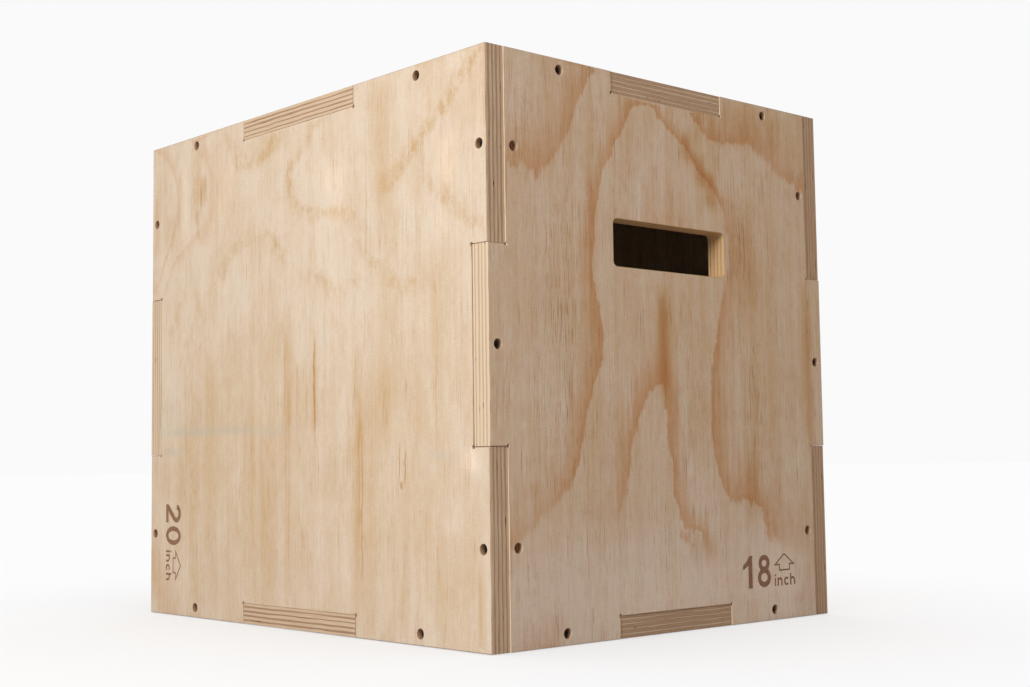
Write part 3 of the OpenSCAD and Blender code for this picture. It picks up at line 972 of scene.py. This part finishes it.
def put_grain(mesh, panel, solid, index, centres, slots):
    """Stores where each vertex lies in the wood, for the materials."""
    vertices = np.array(solid.vertices)
    low = vertices[:, :2].min(0)
    high = vertices[:, :2].max(0)
    across, along = vertices[:, 0], vertices[:, 1]
    from_corner = np.stack([vertices[:, 0] - low[0], high[1] - vertices[:, 1]], 1)
    if panel.along_x:
        across, along = along, across
        from_corner = from_corner[:, ::-1]
    value, slope = field(panel.rings, from_corner)
    strength = np.where(vertices[:, 2] < PLY / 2, panel.strength, INNER_STRENGTH)
    strength *= 1 - np.clip(patch_sum(panel.fades, from_corner), 0, 1)
    tint = panel.tone + patch_sum(panel.stains, from_corner)
    curls = line_sum(panel.curls, from_corner)
    direction = panel.side.right if panel.along_x else panel.side.up
    put_attribute(mesh, "grain", np.stack([across + VENEER_PITCH * index, along, vertices[:, 2]], 1))
    put_attribute(mesh, "rings", np.stack([value, slope, strength], 1))
    put_attribute(mesh, "tint", tint, "FLOAT")
    put_attribute(mesh, "smear", patch_sum(panel.smears, from_corner), "FLOAT")
    put_attribute(mesh, "crowded", patch_sum(panel.crowds, from_corner), "FLOAT")
    even = np.ones(len(vertices))
    put_attribute(mesh, "figure", np.stack([panel.figure * even, panel.blush * even, curls], 1))
    # Recess bottoms get painted shade
    age = np.where(solid.in_recess_shade(centres), RECESS_SHADE_AGE, panel.age)
    # Marks the edges inside a hand slot for their painted shade and warm bounce light
    for slot in slots:
        age[inside(vertices[:, :2], shifted(slot, 2))] = SLOT_SHADE_AGE
    put_attribute(mesh, "edge", age, "FLOAT")
    put_attribute(mesh, "lengthwise", np.tile(direction, (len(vertices), 1)))


# The digits, the place of their foot in mm from the panel's left and top edges, and their turn in degrees
MARKS = {
    "right_panel": ("18", (287, 428), 0),
    "front_panel": ("20", (29, 352), -90),
    "top_panel": ("16", (120, 29), 180),
}
SLOTTED = ("right_panel", "left_panel")


def panel_strokes(name, panel):
    if name not in MARKS:
        return []
    digits, (x, y), turn = MARKS[name]
    low, high = panel.outline.min(0), panel.outline.max(0)
    return [moved(stroke, (low[0] + x, high[1] - y), turn) for stroke in mark_strokes(digits)]


def spare_centres():
    """Unused recesses of a slotted panel, in its own flat frame."""
    x, y = DEPTH / 2 - 1.5 * PLY, HEIGHT / 3
    return [(sx * x, sy * y) for sx in (-1, 1) for sy in (-1, 1)]


def build_box():
    panels = make_panels()
    screw_nodes = [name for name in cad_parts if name.endswith("_screws")]
    wood = [make_veneer(), make_edge(), make_burnt()]
    steel = make_steel()
    centres = {name: [] for name in panels}
    for node in sorted(screw_nodes):
        side = screw_side(node, panels)
        places = screw_places(node, side)
        centres[node.split("_")[0] + "_panel"] += places
        low, high = box_mm(node)
        length = min(high - low)
        solid = Solid()
        for place in places:
            add_screw(solid, place, length)
        piece = make_object(node + "_threaded", solid, side, [steel])
        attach(piece, "root")
        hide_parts(node)
    for index, (name, panel) in enumerate(panels.items()):
        has_slot = name in SLOTTED
        slots = [slot_loop((0, HEIGHT / 2 - SLOT_DROP))] if has_slot else []
        spares = spare_centres() if has_slot else []
        solid = panel_solid(panel.outline, slots, centres[name], spares, panel_strokes(name, panel))
        piece = make_object(name + "_plywood", solid, panel.side, wood)
        put_grain(piece.data, panel, solid, index, centres[name] + spares, slots)
        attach(piece, "root")
        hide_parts(name)


# ---- Stage and light ----

PAPER = 0.955              # brightness of the backdrop where the camera sees it
FILL = 0.245               # brightness of the room around the box
FLOOR_REACH = 60.0         # in metres, as the rest of the stage
FLOOR_DROP = 0.0005        # keeps the floor clear of the bottom faces
FLOOR_SEEN = (0.47, 0.47, 0.475, 1)    # where the camera sees it
FLOOR_LIT = (0.56, 0.515, 0.465, 1)    # where it lights the box
FLOOR_GLOW = 0.5
LAMP = (1.0, 0.99, 0.975)
KEY_PLACE, KEY_WATTS, KEY_SIZE = (0.95, -2.15, 1.25), 47.3, (1.1, 1.1)
BACK_PLACE, BACK_WATTS, BACK_SIZE = (-1.7, 2.1, 1.9), 44, (1.2, 1.2)
SKY_STRENGTH, SKY_ANGLE = 2.4, math.radians(100)


def make_world():
    world = bpy.data.worlds.new("studio")
    world.use_nodes = True
    bpy.context.scene.world = world
    nodes, links = world.node_tree.nodes, world.node_tree.links
    path = nodes.new("ShaderNodeLightPath")
    strength = nodes.new("ShaderNodeMapRange")
    strength.inputs["To Min"].default_value = FILL
    strength.inputs["To Max"].default_value = PAPER
    links.new(path.outputs["Is Camera Ray"], strength.inputs["Value"])
    links.new(strength.outputs[0], nodes["Background"].inputs["Strength"])
    nodes["Background"].inputs["Color"].default_value = (1, 1, 1, 1)


def make_floor():
    mesh = bpy.data.meshes.new("floor")
    r = FLOOR_REACH
    mesh.from_pydata([(-r, -r, 0), (r, -r, 0), (r, r, 0), (-r, r, 0)], [], [(0, 1, 2, 3)])
    floor = bpy.data.objects.new("floor", mesh)
    floor.location.z = LOW[2] * MM - FLOOR_DROP
    bpy.context.scene.collection.objects.link(floor)
    sh = Shader("paper")
    path = sh.node("LightPath", {}, "Is Camera Ray")
    colour = sh.mix(path, FLOOR_LIT, FLOOR_SEEN)
    sh.plug(sh.surface.inputs["Emission Color"], (1, 1, 1, 1))
    sh.plug(sh.surface.inputs["Emission Strength"], sh.math("MULTIPLY", path, FLOOR_GLOW))
    mesh.materials.append(sh.finish(colour, 1.0, specular=0.0))
    return floor


def make_light(name, kind, place, aim, power, colour, size):
    light = bpy.data.lights.new(name, kind)
    light.energy, light.color = power, colour
    made = bpy.data.objects.new(name, light)
    if kind == "AREA":
        light.shape, light.size, light.size_y = "RECTANGLE", size[0], size[1]
    else:
        light.angle = size
    made.location = place
    made.rotation_euler = (Vector(aim) - Vector(place)).to_track_quat("-Z", "Y").to_euler()
    bpy.context.scene.collection.objects.link(made)
    return made


def only_lights(light, name, objects):
    """Keeps a light off everything else."""
    group = bpy.data.collections.new(name)
    for item in objects:
        group.objects.link(item)
    light.light_linking.receiver_collection = group


def make_lights(floor):
    middle = (0.0, 0.0, 0.23)
    key = make_light("key", "AREA", KEY_PLACE, middle, KEY_WATTS, LAMP, KEY_SIZE)
    pieces = [item for item in bpy.data.objects if item.type == "MESH" and item is not floor]
    only_lights(key, "lit_by_key", pieces)
    back = make_light("back", "AREA", BACK_PLACE, middle, BACK_WATTS, LAMP, BACK_SIZE)
    only_lights(back, "lit_by_back", pieces)
    sky = make_light("sky", "SUN", (0, 0, 3), (0, 0.01, 0), SKY_STRENGTH, (1, 1, 1), SKY_ANGLE)
    only_lights(sky, "lit_by_sky", [floor])


bpy.context.scene.view_settings.view_transform = "Standard"
make_camera()
make_world()
build_box()
make_lights(make_floor())
